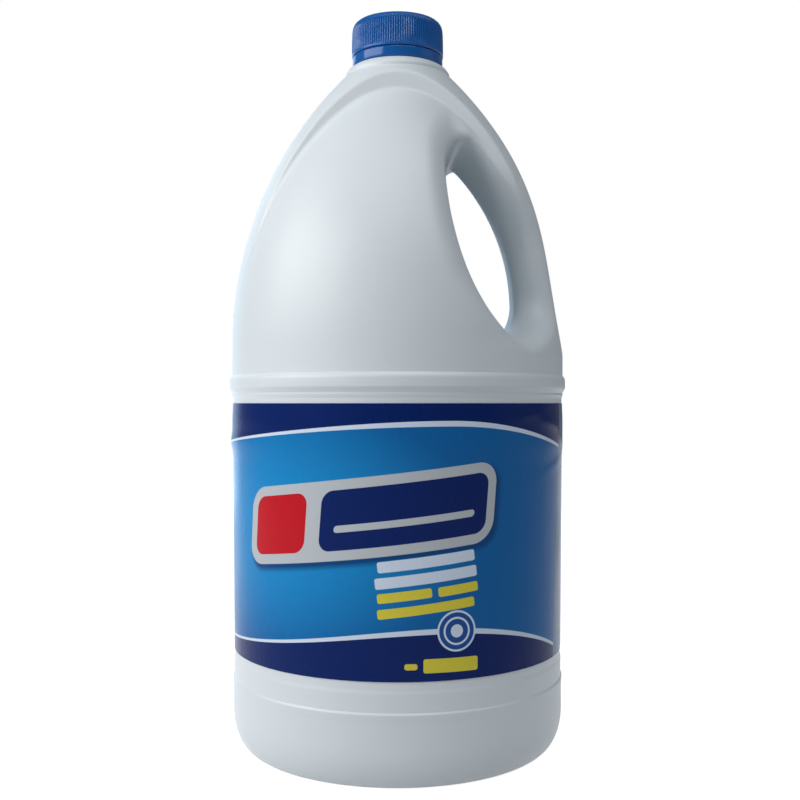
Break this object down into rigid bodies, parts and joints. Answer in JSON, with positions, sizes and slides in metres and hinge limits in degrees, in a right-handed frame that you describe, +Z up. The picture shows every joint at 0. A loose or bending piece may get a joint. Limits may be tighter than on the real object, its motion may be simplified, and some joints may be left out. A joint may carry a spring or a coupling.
{
  "type": "bleach bottle",
  "caption": "Blow-moulded household bottle with a hollow side handle, a ribbed screw cap on a threaded neck and a wraparound film label.",
  "frame": {"origin": "centre of the base, on the floor", "axes": "+Z up along the bottle's axis, +X toward the handle, the label's front faces -Y"},
  "size_m": [0.1538, 0.1538, 0.3301],
  "materials": {
    "bottle_wall": "satin blow-moulded polyethylene, pale bluish grey",
    "cap_plastic": "injection-moulded polypropylene, mid blue",
    "liner_foam": "white foamed sealing disc",
    "label_film": "printed gloss film, navy with an azure field and white stripes"
  },
  "bodies": {
    "bottle": {"bottle": "bottle_wall", "tamper_band": "cap_plastic", "label": "label_film"},
    "liner": {"cap_liner": "liner_foam"},
    "cap": {"cap": "cap_plastic"}
  },
  "joints": [
    {"name": "cap_lift", "type": "slide", "parent": "bottle", "child": "liner", "axis": [0, 0, 1], "range_m": [0, 0.0169]},
    {"name": "cap_turn", "type": "hinge", "parent": "liner", "child": "cap", "pos_m": [0, 0, 0.32], "axis": [0, 0, 1], "range_deg": [0, 1440]}
  ],
  "couplings": [
    {"joint": "cap_lift", "follows": "cap_turn", "m_per_rad": 0.00066845}
  ]
}
